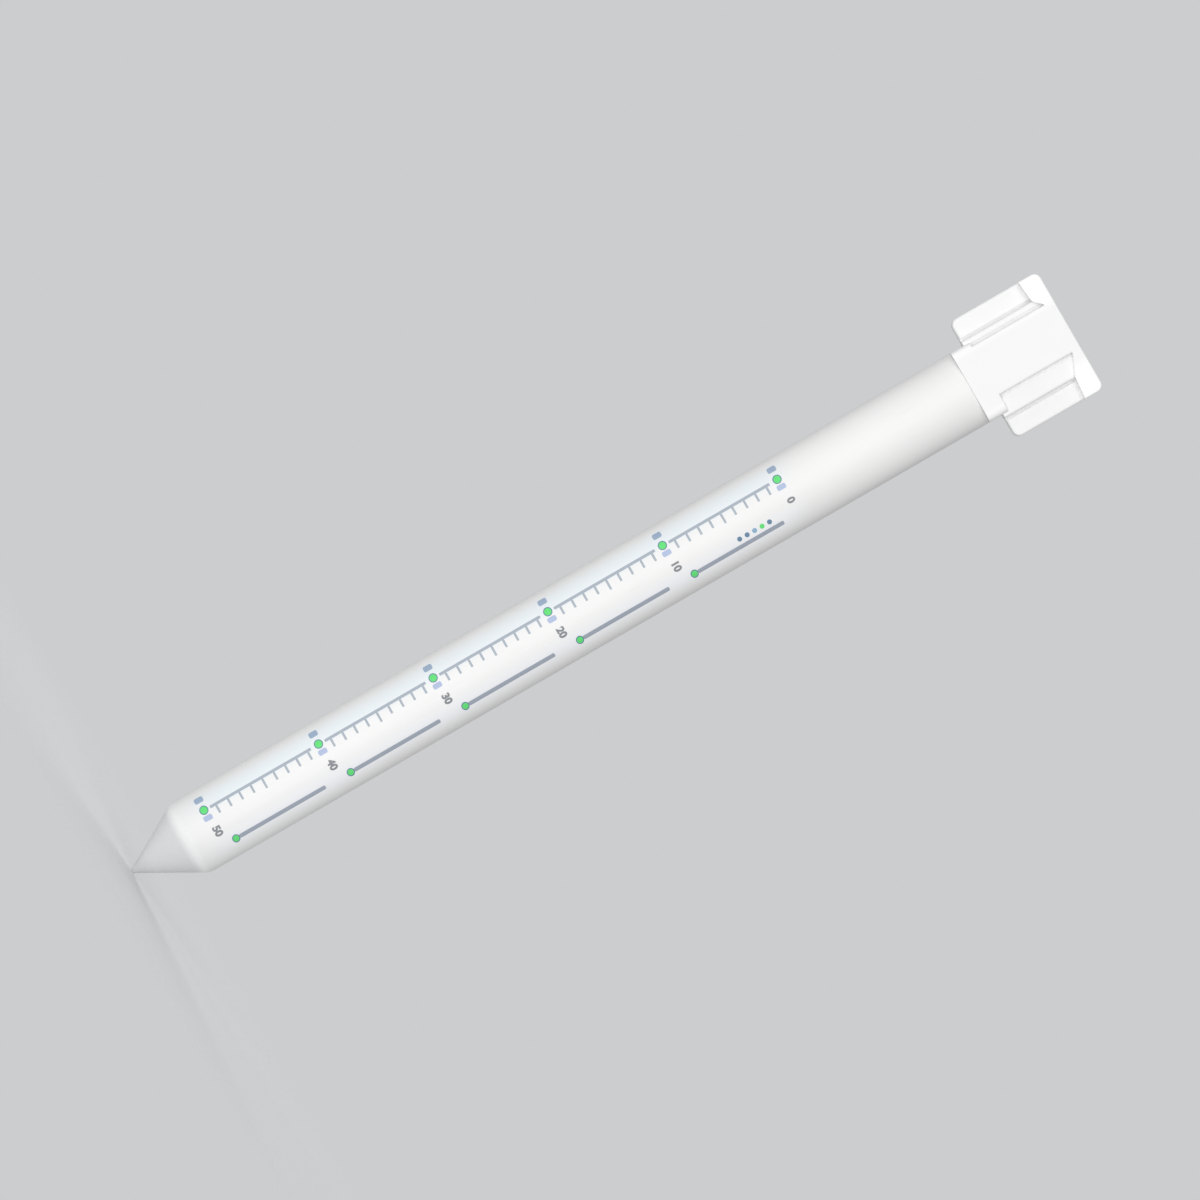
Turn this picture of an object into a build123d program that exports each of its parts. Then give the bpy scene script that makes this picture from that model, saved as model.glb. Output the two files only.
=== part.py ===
from build123d import *
import os
from math import acos, atan2, cos, dist, radians, sin, sqrt, tan

# Capacitance soil moisture probe, in millimetres.
# The probe stands upright as it does in the ground: +Z runs up its axis to the head,
# and the origin lies on the axis at the zero mark of the depth scale.

# Tube
tube_diameter = 60.3
tube_wall = 3.9
tube_foot_length = 18.0
tube_above_zero = 161.0
tube_lead_in = 1.2

# Depth scale and sensing layers
layer_height = 100.0
layer_count = 5

# Drive point
nose_length = 53.0
nose_step = 0.15
nose_flat_radius = 1.5
nose_edge_radius = 1.4
nose_shoulder_radius = 10.0
point_foot_gap = 1.0
point_cup_radius = 18.0
point_cup_depth = 34.0

# Spigot seals
spigot_clearance = 0.25
seal_cord = 2.4
seal_clearance = 0.1
seal_side_gap = 0.4
point_seal_distance = 5.0
head_seal_distance = 10.0
seal_pitch = 7.0
seal_count = 2

# Head
seam_gap = 0.12
neck_length = 11.5
neck_rise = 4.5
neck_inset = 0.15
neck_corner_radius = 6.0
neck_edge_chamfer = 0.2
head_width = 101.6
head_height = 76.0
panel_inset = 8.9
panel_offset = 5.2
terrace_proud = 3.0
terrace_step = 5.0
wing_step = 8.0
plate_crown = 7.5
plate_rim = 15.0
plate_fall_angle = 5.0
plate_knee_radius = 6.0
plate_edge_radius = 1.2
head_edge_radius = 5.5
grip_edge_radius = 2.0
groove_width = 2.5
groove_depth = 2.0
shell_wall = 3.3
floor_thickness = 5.5
head_spigot_length = 35.0
spigot_wall = 6.5
thread_length = 12.0
thread_depth = 1.0
thread_shoulder_gap = 1.5

# Top cover
cover_rim = 5.5
cover_thickness = 4.0
cover_clearance = 0.2
cover_corner_radius = 4.5
cover_edge_radius = 0.8
gasket_thickness = 1.5
seat_width = 2.5
cover_screw_radius = 2.0
cover_screw_head_radius = 3.8
cover_screw_bite = 4.4
cover_screw_inset = 9.0
cover_screw_spread = 13.0
countersink_angle = 90.0

# Sensor string
rail_width = 16.0
rail_depth = 8.0
slide_clearance = 0.1
carrier_clearance = 0.7
bobbin_height = 68.0
bobbin_sleeve_wall = 3.7
band_height = 25.0
band_gap = 12.0
band_thickness = 0.8
band_clearance = 0.05
hub_width = 24.0
hub_depth = 16.0
hub_height = 40.0
spoke_thickness = 4.0
pin_radius = 1.5
pin_clearance = 0.05
foot_thickness = 8.0
foot_gap = 4.0
bumper_radius = 15.0
bumper_thickness = 4.0

# Boards and ribbon
board_thickness = 1.6
board_width = 24.0
board_height = 36.0
header_width = 15.0
header_height = 6.0
header_lift = 10.0
chip_size = 8.0
chip_thickness = 1.5
chip_drop = 7.0
crystal_width = 3.0
crystal_height = 7.0
crystal_offset = 8.0
ribbon_width = 13.0
ribbon_side_room = 3.9
ribbon_thickness = 0.9
ribbon_slot_clearance = 0.8
main_board_width = 30.0
main_board_head_room = 4.5
main_board_lift = 4.0
radio_size = 18.0
radio_thickness = 3.0
main_header_rise = 9.0

# Battery
cell_side_room = 9.75
cell_length = 58.0
cell_nub_radius = 4.5
cell_nub_length = 1.5
cell_edge_radius = 1.5
contact_radius = 8.0
contact_thickness = 1.0
cradle_disc_thickness = 5.0
trough_clearance = 0.3
trough_wall = 2.0
trough_rim_gap = 2.75
small_screw_radius = 1.5
small_screw_head_radius = 2.7
small_screw_head_height = 2.0
small_screw_bite = 7.0
screw_clearance = 0.1

# Board bracket and antenna
bracket_thickness = 3.0
bracket_bore_gap = 0.5
bracket_foot_width = 7.0
bracket_foot_reach = 14.0
board_screw_radius = 1.2
board_screw_head_radius = 2.2
board_screw_head_height = 1.6
board_screw_inset = 3.5
antenna_size = 25.0
antenna_thickness = 4.0
antenna_edge_radius = 1.0
antenna_wall_gap = 1.2

# How close a corner has to lie to a grip edge to count as one of its corners
corner_tolerance = 0.01

# Worked-out sizes
tube_radius = tube_diameter / 2
bore_radius = tube_radius - tube_wall
tube_below_zero = layer_count * layer_height + tube_foot_length
tube_length = tube_below_zero + tube_above_zero
spigot_radius = bore_radius - spigot_clearance
spigot_bore_radius = spigot_radius - spigot_wall
seal_floor_radius = bore_radius - seal_cord - 2 * seal_clearance
seal_centre_radius = seal_floor_radius + seal_clearance + seal_cord / 2
seal_groove_width = seal_cord + 2 * seal_side_gap

shoulder = tube_above_zero + seam_gap
head_base = shoulder + neck_length
head_top = head_base + head_height
spigot_end = shoulder - head_spigot_length
head_seal_heights = [spigot_end + head_seal_distance + seal_pitch * n for n in range(seal_count)]
thread_top = shoulder - thread_shoulder_gap
cavity_floor = head_base + floor_thickness
neck_width = tube_diameter - 2 * neck_inset
head_depth = neck_width
panel_width = neck_width - 2 * panel_inset
terrace_width = tube_diameter + 2 * terrace_proud
terrace_depth = head_depth - 2 * terrace_step
wing_thickness = terrace_depth - 2 * wing_step
cavity_width = terrace_width - 2 * shell_wall
cavity_depth = terrace_depth - 2 * (shell_wall + groove_depth)
plate_end = plate_rim + (head_width - terrace_width / 2) * tan(radians(plate_fall_angle))
plate_underside = [
    (-head_width, head_height + plate_crown),
    (-head_width, plate_end),
    (-terrace_width / 2, plate_rim),
    (-panel_offset - panel_width / 2, plate_crown),
    (-panel_offset + panel_width / 2, plate_crown),
    (terrace_width / 2, plate_rim),
    (head_width, plate_end),
    (head_width, head_height + plate_crown),
]

cover_length = head_width - 2 * cover_rim
cover_depth = head_depth - 2 * cover_rim
cover_pocket = cover_thickness + gasket_thickness
cover_seat = head_top - cover_pocket
cover_underside = head_top - cover_thickness
cover_screw_spots = [
    (x * (cover_length / 2 - cover_screw_inset), y * cover_screw_spread) for x in (-1, 1) for y in (-1, 1)
]

carrier_radius = bore_radius - carrier_clearance
layer_depths = [-layer_height * (n + 0.5) for n in range(layer_count)]
band_seat_radius = carrier_radius - band_thickness - band_clearance
cell_radius = bore_radius - cell_side_room
trough_radius = cell_radius + trough_clearance + trough_wall
cell_offset = carrier_radius - trough_rim_gap - trough_radius
cradle_top = spigot_end
cradle_inner_top = cradle_top - cradle_disc_thickness
cells_top = cradle_inner_top - contact_thickness
cells_base = cells_top - 2 * cell_length
cradle_inner_base = cells_base - contact_thickness
cradle_base = cradle_inner_base - cradle_disc_thickness
foot_top = layer_depths[-1] - bobbin_height / 2 - foot_gap
foot_base = foot_top - foot_thickness
point_base = -tube_below_zero
point_tip = point_base - nose_length
flank_start = (nose_flat_radius, point_tip)
shoulder_start = (tube_radius - nose_step, point_base)
shoulder_centre = (shoulder_start[0] - nose_shoulder_radius, point_base)
flank_bearing = atan2(flank_start[1] - shoulder_centre[1], flank_start[0] - shoulder_centre[0])
shoulder_turn = flank_bearing + acos(nose_shoulder_radius / dist(flank_start, shoulder_centre))
point_spigot_top = foot_base - point_foot_gap
point_seal_heights = [point_spigot_top - point_seal_distance - seal_pitch * n for n in range(seal_count)]
pin_heights = layer_depths + [foot_base + foot_thickness / 2, cradle_base + cradle_disc_thickness / 2]
board_face = -hub_depth / 2
board_front = board_face - board_thickness
ribbon_front = -sqrt(spigot_bore_radius**2 - (ribbon_width / 2 + ribbon_side_room) ** 2)
ribbon_back = ribbon_front + ribbon_thickness
ribbon_middle = (ribbon_front + ribbon_back) / 2
header_depth = board_front - ribbon_back
main_board_base = cavity_floor + main_board_lift
main_board_top = cover_underside - antenna_thickness - main_board_head_room
main_board_height = main_board_top - main_board_base
main_header_height = main_board_base + main_header_rise
cradle_screw_ring = (spigot_bore_radius + spigot_radius) / 2
cradle_screw_angles = [0, 180, 230, 310]
bracket_back = board_face + bracket_thickness
bracket_width = 2 * (spigot_bore_radius + bracket_bore_gap + bracket_foot_width)
bracket_screw_spots = [
    (x * (bracket_width - bracket_foot_width) / 2, bracket_back + bracket_foot_reach / 2) for x in (-1, 1)
]
board_screw_spots = [
    (x * (main_board_width / 2 - board_screw_inset), z)
    for x in (-1, 1)
    for z in (main_board_base + board_screw_inset, main_board_top - board_screw_inset)
]

os.makedirs("parts", exist_ok=True)


def cut_seal_groove(height):
    """Cuts one seal groove around a spigot."""
    with BuildSketch(Plane.XZ) as groove:
        with Locations(((seal_floor_radius + bore_radius) / 2, height)):
            Rectangle(bore_radius - seal_floor_radius, seal_groove_width)
    revolve(groove.sketch, axis=Axis.Z, mode=Mode.SUBTRACT)


def shoulder_point(turn):
    """Point on the rounded shoulder of the drive point, at this angle round its centre."""
    return (
        shoulder_centre[0] + nose_shoulder_radius * cos(turn),
        shoulder_centre[1] + nose_shoulder_radius * sin(turn),
    )


def add_seal_ring(height):
    """Adds one round-section seal ring."""
    with BuildSketch(Plane.XZ) as cord:
        with Locations((seal_centre_radius, height)):
            Circle(seal_cord / 2)
    revolve(cord.sketch, axis=Axis.Z)


def add_panhead_screw(plane, head_height, head_radius, shank_radius, shank_length):
    """Adds a screw whose head stands on the plane and whose shank runs back through it."""
    with BuildSketch(plane) as screw_head:
        Circle(head_radius)
    extrude(screw_head.sketch, amount=head_height)
    with BuildSketch(plane) as shank:
        Circle(shank_radius)
    extrude(shank.sketch, amount=-shank_length)


# Probe tube: plain pipe with a lead-in for the head's seals
with BuildPart() as probe_tube:
    with BuildSketch(Plane.XY.offset(-tube_below_zero)):
        Circle(tube_radius)
        Circle(bore_radius, mode=Mode.SUBTRACT)
    extrude(amount=tube_length)
    top_face = probe_tube.faces().sort_by(Axis.Z)[-1]
    chamfer(top_face.inner_wires()[0].edges(), tube_lead_in)
probe_tube.part.label = "probe_tube"
export_step(probe_tube.part, "parts/probe_tube.step")

# Drive point: cone with a rounded shoulder and a spigot that plugs the tube's lower end
with BuildPart() as drive_point:
    with BuildSketch(Plane.XZ):
        with BuildLine():
            Line(flank_start, shoulder_point(shoulder_turn))
            ThreePointArc(shoulder_point(shoulder_turn), shoulder_point(shoulder_turn / 2), shoulder_start)
            Polyline(
                shoulder_start,
                (spigot_radius, point_base),
                (spigot_radius, point_spigot_top),
                (point_cup_radius, point_spigot_top),
                (point_cup_radius, point_spigot_top - point_cup_depth),
                (0, point_spigot_top - point_cup_depth),
                (0, point_tip),
                flank_start,
            )
        make_face()
    revolve(axis=Axis.Z)
    for seal_height in point_seal_heights:
        cut_seal_groove(seal_height)
    fillet(drive_point.edges().group_by(Axis.Z)[0], nose_edge_radius)
drive_point.part.label = "drive_point"
export_step(drive_point.part, "parts/drive_point.step")

# Seal rings of the drive point and of the head
with BuildPart() as point_seals:
    for seal_height in point_seal_heights:
        add_seal_ring(seal_height)
point_seals.part.label = "point_seals"
export_step(point_seals.part, "parts/point_seals.step")

with BuildPart() as head_seals:
    for seal_height in head_seal_heights:
        add_seal_ring(seal_height)
head_seals.part.label = "head_seals"
export_step(head_seals.part, "parts/head_seals.step")

# Side wings of the head, as one rounded plate across it
with BuildPart() as wing_plate:
    wing_height = head_height - plate_crown / 2
    with BuildSketch(Plane.XZ):
        with Locations((0, head_base + wing_height / 2)):
            RectangleRounded(head_width, wing_height, head_edge_radius)
    extrude(amount=wing_thickness / 2, both=True)
    fillet(wing_plate.faces().filter_by(Axis.Y).edges(), grip_edge_radius)
    groove_across = (terrace_width + groove_width) / 2
    groove_level = (wing_thickness - groove_depth) / 2
    with BuildSketch(Plane.XY.offset(head_base)):
        with GridLocations(2 * groove_across, 2 * groove_level, 2, 2):
            Rectangle(groove_width, groove_depth)
    extrude(amount=head_height, mode=Mode.SUBTRACT)

# Head shell: arched top plate over a stepped grip, with a square neck and a round spigot below.
# The front and back of the head are alike, half a turn apart.
with BuildPart() as head_shell:
    with BuildSketch(Plane.XZ):
        with Locations((0, head_base + head_height / 2)):
            RectangleRounded(head_width, head_height, head_edge_radius)
    extrude(amount=head_depth / 2, both=True)
    fillet(head_shell.faces().filter_by(Axis.Y).edges(), plate_edge_radius)
    for side in (1, -1):
        with BuildSketch(Plane.XZ) as under_plate:
            with BuildLine():
                Polyline(*[(side * x, head_top - drop) for x, drop in plate_underside], close=True)
            make_face()
            knees = under_plate.vertices().filter_by(lambda v: abs(v.X) < head_width / 2)
            fillet(knees, plate_knee_radius)
        extrude(amount=side * head_depth, mode=Mode.SUBTRACT)
    with BuildSketch(Plane.XY.offset(head_base)) as grip_core:
        Rectangle(terrace_width, terrace_depth)
        with Locations((-panel_offset, -head_depth / 4), (panel_offset, head_depth / 4)):
            Rectangle(panel_width, head_depth / 2)
        for side in (1, -1):
            with Locations((-side * panel_offset, -side * (terrace_depth - groove_depth) / 2)):
                with GridLocations(panel_width + groove_width, 0, 2, 1):
                    Rectangle(groove_width, groove_depth, mode=Mode.SUBTRACT)
        outer_corners = grip_core.vertices().filter_by(
            lambda v: abs(abs(v.Y) - head_depth / 2) < corner_tolerance
            or abs(abs(v.X) - terrace_width / 2) < corner_tolerance
        )
        fillet(outer_corners, grip_edge_radius)
    extrude(amount=head_height - plate_crown / 2)
    add(wing_plate.part)
    with BuildSketch(Plane.XY.offset(shoulder)):
        RectangleRounded(neck_width, neck_width, neck_corner_radius)
    extrude(amount=neck_length + neck_rise)
    chamfer(head_shell.faces().sort_by(Axis.Z)[0].edges(), neck_edge_chamfer)
    with BuildSketch(Plane.XY.offset(spigot_end)):
        Circle(spigot_radius)
    extrude(amount=head_spigot_length)
    with BuildSketch(Plane.XY.offset(thread_top)):
        Circle(spigot_radius)
        Circle(spigot_radius - thread_depth, mode=Mode.SUBTRACT)
    extrude(amount=-thread_length, mode=Mode.SUBTRACT)
    for seal_height in head_seal_heights:
        cut_seal_groove(seal_height)
    with BuildSketch(Plane.XY.offset(spigot_end)):
        Circle(spigot_bore_radius)
    extrude(amount=cavity_floor - spigot_end, mode=Mode.SUBTRACT)
    with BuildSketch(Plane.XY.offset(cavity_floor)):
        Rectangle(cavity_width, cavity_depth)
    extrude(amount=head_top - cavity_floor, mode=Mode.SUBTRACT)
    with BuildSketch(Plane.XY.offset(cover_seat)):
        RectangleRounded(cover_length, cover_depth, cover_corner_radius)
    extrude(amount=cover_pocket, mode=Mode.SUBTRACT)
    with BuildSketch(Plane.XY.offset(cover_seat)):
        with Locations(*cover_screw_spots):
            Circle(cover_screw_radius + pin_clearance)
    extrude(amount=-cover_screw_bite, mode=Mode.SUBTRACT)
    with BuildSketch(Plane.XY.offset(spigot_end)):
        for angle in cradle_screw_angles:
            with PolarLocations(cradle_screw_ring, 1, angle):
                Circle(small_screw_radius + pin_clearance)
    extrude(amount=small_screw_bite, mode=Mode.SUBTRACT)
    with BuildSketch(Plane.XY.offset(cavity_floor)):
        with Locations(*bracket_screw_spots):
            Circle(small_screw_radius + pin_clearance)
    extrude(amount=-small_screw_bite, mode=Mode.SUBTRACT)
head_shell.part.label = "head_shell"
export_step(head_shell.part, "parts/head_shell.step")

# Top cover with its gasket and countersunk screws
with BuildPart() as top_cover:
    with BuildSketch(Plane.XY.offset(cover_underside)):
        RectangleRounded(
            cover_length - 2 * cover_clearance,
            cover_depth - 2 * cover_clearance,
            cover_corner_radius - cover_clearance,
        )
    extrude(amount=cover_thickness)
    fillet(top_cover.faces().sort_by(Axis.Z)[-1].edges(), cover_edge_radius)
    with Locations(Plane.XY.offset(head_top)):
        with Locations(*cover_screw_spots):
            CounterSinkHole(
                cover_screw_radius + screw_clearance,
                cover_screw_head_radius + screw_clearance,
                cover_thickness,
                countersink_angle,
            )
top_cover.part.label = "top_cover"
export_step(top_cover.part, "parts/top_cover.step")

with BuildPart() as cover_gasket:
    with BuildSketch(Plane.XY.offset(cover_seat)):
        RectangleRounded(
            cover_length - 2 * cover_clearance,
            cover_depth - 2 * cover_clearance,
            cover_corner_radius - cover_clearance,
        )
        RectangleRounded(
            cover_length - 2 * seat_width,
            cover_depth - 2 * seat_width,
            cover_corner_radius - seat_width,
            mode=Mode.SUBTRACT,
        )
    extrude(amount=gasket_thickness)
cover_gasket.part.label = "cover_gasket"
export_step(cover_gasket.part, "parts/cover_gasket.step")

with BuildPart() as cover_screws:
    head_taper = cover_screw_head_radius - cover_screw_radius
    for spot_x, spot_y in cover_screw_spots:
        with BuildSketch(Plane((spot_x, spot_y, head_top - head_taper))):
            Circle(cover_screw_radius)
        with BuildSketch(Plane((spot_x, spot_y, head_top))):
            Circle(cover_screw_head_radius)
        loft()
        with BuildSketch(Plane((spot_x, spot_y, head_top - head_taper))):
            Circle(cover_screw_radius)
        extrude(amount=-(cover_pocket + cover_screw_bite - head_taper))
cover_screws.part.label = "cover_screws"
export_step(cover_screws.part, "parts/cover_screws.step")

# Antenna patch under the cover
with BuildPart() as antenna_patch:
    with BuildSketch(Plane.XY.offset(cover_underside)):
        with Locations((0, (cavity_depth - antenna_size) / 2 - antenna_wall_gap)):
            RectangleRounded(antenna_size, antenna_size, antenna_edge_radius)
    extrude(amount=-antenna_thickness)
antenna_patch.part.label = "antenna_patch"
export_step(antenna_patch.part, "parts/antenna_patch.step")

# Main board on its bracket in the head
with BuildPart() as board_bracket:
    with BuildSketch(Plane.XZ.offset(-board_face)):
        with Locations((0, (cavity_floor + main_board_top) / 2)):
            Rectangle(main_board_width, main_board_top - cavity_floor)
        with Locations((0, cavity_floor + main_board_lift)):
            Rectangle(bracket_width, 2 * main_board_lift)
    extrude(amount=-bracket_thickness)
    with BuildSketch(Plane.XY.offset(cavity_floor)):
        for spot_x, spot_y in bracket_screw_spots:
            with Locations((spot_x, spot_y)):
                Rectangle(bracket_foot_width, bracket_foot_reach)
    extrude(amount=bracket_thickness)
    with Locations(Plane.XY.offset(cavity_floor + bracket_thickness)):
        with Locations(*bracket_screw_spots):
            Hole(small_screw_radius + screw_clearance, depth=bracket_thickness)
    with Locations(Plane.XZ.offset(-board_face)):
        with Locations(*board_screw_spots):
            Hole(board_screw_radius + pin_clearance, depth=bracket_thickness)
board_bracket.part.label = "board_bracket"
export_step(board_bracket.part, "parts/board_bracket.step")

with BuildPart() as main_board:
    with BuildSketch(Plane.XZ.offset(-board_face)):
        with Locations((0, (main_board_base + main_board_top) / 2)):
            Rectangle(main_board_width, main_board_height)
        with Locations(*board_screw_spots):
            Circle(board_screw_radius + screw_clearance, mode=Mode.SUBTRACT)
    extrude(amount=board_thickness)
    with BuildSketch(Plane.XZ.offset(-board_front)):
        with Locations((0, main_header_height)):
            Rectangle(header_width, header_height)
    extrude(amount=header_depth)
    with BuildSketch(Plane.XZ.offset(-board_front)):
        with Locations((0, main_board_top - radio_size)):
            Rectangle(radio_size, radio_size)
    extrude(amount=radio_thickness)
main_board.part.label = "main_board"
export_step(main_board.part, "parts/main_board.step")

with BuildPart() as board_screws:
    for spot_x, spot_z in board_screw_spots:
        add_panhead_screw(
            Plane((spot_x, board_front, spot_z), x_dir=(1, 0, 0), z_dir=(0, -1, 0)),
            board_screw_head_height,
            board_screw_head_radius,
            board_screw_radius,
            board_thickness + bracket_thickness,
        )
board_screws.part.label = "board_screws"
export_step(board_screws.part, "parts/board_screws.step")

with BuildPart() as bracket_screws:
    for spot_x, spot_y in bracket_screw_spots:
        add_panhead_screw(
            Plane((spot_x, spot_y, cavity_floor + bracket_thickness)),
            small_screw_head_height,
            small_screw_head_radius,
            small_screw_radius,
            bracket_thickness + small_screw_bite,
        )
bracket_screws.part.label = "bracket_screws"
export_step(bracket_screws.part, "parts/bracket_screws.step")

# Battery cradle: two discs joined by a trough, screwed to the end of the head's spigot
with BuildPart() as battery_cradle:
    for disc_base in (cradle_base, cradle_inner_top):
        with BuildSketch(Plane.XY.offset(disc_base)):
            Circle(carrier_radius)
            with Locations((0, ribbon_middle)):
                Rectangle(
                    ribbon_width + 2 * ribbon_slot_clearance,
                    ribbon_thickness + 2 * ribbon_slot_clearance,
                    mode=Mode.SUBTRACT,
                )
        extrude(amount=cradle_disc_thickness)
    with BuildSketch(Plane.XY.offset(cradle_inner_base)):
        with Locations((0, cell_offset)):
            Circle(trough_radius)
            Circle(cell_radius + trough_clearance, mode=Mode.SUBTRACT)
        with Locations((0, cell_offset - tube_radius / 2)):
            Rectangle(tube_diameter, tube_radius, mode=Mode.SUBTRACT)
    extrude(amount=cradle_inner_top - cradle_inner_base)
    with BuildSketch(Plane.XY.offset(cradle_base)):
        Rectangle(rail_width + 2 * slide_clearance, rail_depth + 2 * slide_clearance)
    extrude(amount=cradle_disc_thickness, mode=Mode.SUBTRACT)
    with BuildSketch(Plane.XY.offset(cradle_inner_top)):
        for angle in cradle_screw_angles:
            with PolarLocations(cradle_screw_ring, 1, angle):
                Circle(small_screw_radius + screw_clearance)
    extrude(amount=cradle_disc_thickness, mode=Mode.SUBTRACT)
    with BuildSketch(Plane.XZ):
        with Locations((0, pin_heights[-1])):
            Circle(pin_radius + pin_clearance)
    extrude(amount=hub_depth / 2, both=True, mode=Mode.SUBTRACT)
battery_cradle.part.label = "battery_cradle"
export_step(battery_cradle.part, "parts/battery_cradle.step")

with BuildPart() as cradle_screws:
    for angle in cradle_screw_angles:
        spot = Vector(cradle_screw_ring, 0, 0).rotate(Axis.Z, angle)
        add_panhead_screw(
            Plane((spot.X, spot.Y, cradle_inner_top), x_dir=(1, 0, 0), z_dir=(0, 0, -1)),
            small_screw_head_height,
            small_screw_head_radius,
            small_screw_radius,
            cradle_disc_thickness + small_screw_bite,
        )
cradle_screws.part.label = "cradle_screws"
export_step(cradle_screws.part, "parts/cradle_screws.step")

# Battery cells and the contact plates at both ends
for cell_name, cell_base in (("battery_lower", cells_base), ("battery_upper", cells_base + cell_length)):
    with BuildPart() as battery_cell:
        with BuildSketch(Plane.XY.offset(cell_base)):
            with Locations((0, cell_offset)):
                Circle(cell_radius)
        extrude(amount=cell_length - cell_nub_length)
        fillet(battery_cell.edges().filter_by(GeomType.CIRCLE), cell_edge_radius)
        with BuildSketch(Plane.XY.offset(cell_base + cell_length - cell_nub_length)):
            with Locations((0, cell_offset)):
                Circle(cell_nub_radius)
        extrude(amount=cell_nub_length)
    battery_cell.part.label = cell_name
    export_step(battery_cell.part, f"parts/{cell_name}.step")

for contact_name, contact_base in (("contact_lower", cradle_inner_base), ("contact_upper", cells_top)):
    with BuildPart() as contact_plate:
        with BuildSketch(Plane.XY.offset(contact_base)):
            with Locations((0, cell_offset)):
                Circle(contact_radius)
        extrude(amount=contact_thickness)
    contact_plate.part.label = contact_name
    export_step(contact_plate.part, f"parts/{contact_name}.step")

# Rail that carries the sensors, cross-pinned to each of them
with BuildPart() as spine_rail:
    with BuildSketch(Plane.XY.offset(foot_base)):
        Rectangle(rail_width, rail_depth)
    extrude(amount=cradle_inner_base - foot_base)
    with BuildSketch(Plane.XZ):
        for pin_height in pin_heights:
            with Locations((0, pin_height)):
                Circle(pin_radius + pin_clearance)
    extrude(amount=rail_depth, both=True, mode=Mode.SUBTRACT)
spine_rail.part.label = "spine_rail"
export_step(spine_rail.part, "parts/spine_rail.step")

with BuildPart() as rail_pins:
    with BuildSketch(Plane.XZ):
        for pin_height in pin_heights:
            with Locations((0, pin_height)):
                Circle(pin_radius)
    extrude(amount=hub_depth / 2, both=True)
rail_pins.part.label = "rail_pins"
export_step(rail_pins.part, "parts/rail_pins.step")

# Foot that centres the string in the tube, with a soft bumper under it
with BuildPart() as rail_foot:
    with BuildSketch(Plane.XY.offset(foot_base)):
        Circle(carrier_radius)
        Rectangle(rail_width + 2 * slide_clearance, rail_depth + 2 * slide_clearance, mode=Mode.SUBTRACT)
    extrude(amount=foot_thickness)
    with BuildSketch(Plane.XZ):
        with Locations((0, foot_base + foot_thickness / 2)):
            Circle(pin_radius + pin_clearance)
    extrude(amount=hub_depth / 2, both=True, mode=Mode.SUBTRACT)
rail_foot.part.label = "rail_foot"
export_step(rail_foot.part, "parts/rail_foot.step")

with BuildPart() as foot_bumper:
    with BuildSketch(Plane.XY.offset(foot_base)):
        Circle(bumper_radius)
    extrude(amount=-bumper_thickness)
    fillet(foot_bumper.edges().group_by(Axis.Z)[0], bumper_thickness / 2)
foot_bumper.part.label = "foot_bumper"
export_step(foot_bumper.part, "parts/foot_bumper.step")

# Ribbon cable from the lowest sensor up to the main board
with BuildPart() as ribbon_cable:
    ribbon_base = layer_depths[-1] + header_lift - header_height / 2
    ribbon_top = main_header_height + header_height / 2
    with BuildSketch(Plane.XZ.offset(-ribbon_back)):
        with Locations((0, (ribbon_base + ribbon_top) / 2)):
            Rectangle(ribbon_width, ribbon_top - ribbon_base)
    extrude(amount=ribbon_thickness)
ribbon_cable.part.label = "ribbon_cable"
export_step(ribbon_cable.part, "parts/ribbon_cable.step")

# One sensor for each soil layer: bobbin, two electrode bands and an oscillator board
for number, depth in enumerate(layer_depths, start=1):
    band_centres = [depth + side * (band_gap + band_height) / 2 for side in (1, -1)]

    with BuildPart() as bobbin:
        with BuildSketch(Plane.XY.offset(depth - bobbin_height / 2)):
            Circle(carrier_radius)
            Circle(carrier_radius - bobbin_sleeve_wall, mode=Mode.SUBTRACT)
        extrude(amount=bobbin_height)
        for band_centre in band_centres:
            with BuildSketch(Plane.XY.offset(band_centre - band_height / 2)):
                Circle(carrier_radius)
                Circle(band_seat_radius, mode=Mode.SUBTRACT)
            extrude(amount=band_height, mode=Mode.SUBTRACT)
        with BuildSketch(Plane.XY.offset(depth - hub_height / 2)):
            Rectangle(2 * carrier_radius - bobbin_sleeve_wall, spoke_thickness)
            Rectangle(hub_width, hub_depth)
            Rectangle(rail_width + 2 * slide_clearance, rail_depth + 2 * slide_clearance, mode=Mode.SUBTRACT)
        extrude(amount=hub_height)
        with BuildSketch(Plane.XZ):
            with Locations((0, depth)):
                Circle(pin_radius + pin_clearance)
        extrude(amount=hub_depth, both=True, mode=Mode.SUBTRACT)
    bobbin.part.label = f"bobbin_{number}"
    export_step(bobbin.part, f"parts/bobbin_{number}.step")

    for band_name, band_centre in zip(("upper_band", "lower_band"), band_centres):
        with BuildPart() as band:
            with BuildSketch(Plane.XY.offset(band_centre - band_height / 2)):
                Circle(carrier_radius)
                Circle(carrier_radius - band_thickness, mode=Mode.SUBTRACT)
            extrude(amount=band_height)
        band.part.label = f"{band_name}_{number}"
        export_step(band.part, f"parts/{band_name}_{number}.step")

    with BuildPart() as oscillator_board:
        with BuildSketch(Plane.XZ.offset(-board_face)):
            with Locations((0, depth)):
                Rectangle(board_width, board_height)
        extrude(amount=board_thickness)
        with BuildSketch(Plane.XZ.offset(-board_front)):
            with Locations((0, depth + header_lift)):
                Rectangle(header_width, header_height)
        extrude(amount=header_depth)
        with BuildSketch(Plane.XZ.offset(-board_front)):
            with Locations((0, depth - chip_drop)):
                Rectangle(chip_size, chip_size)
            with Locations((-crystal_offset, depth), (crystal_offset, depth)):
                Rectangle(crystal_width, crystal_height)
        extrude(amount=chip_thickness)
    oscillator_board.part.label = f"oscillator_board_{number}"
    export_step(oscillator_board.part, f"parts/oscillator_board_{number}.step")
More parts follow.
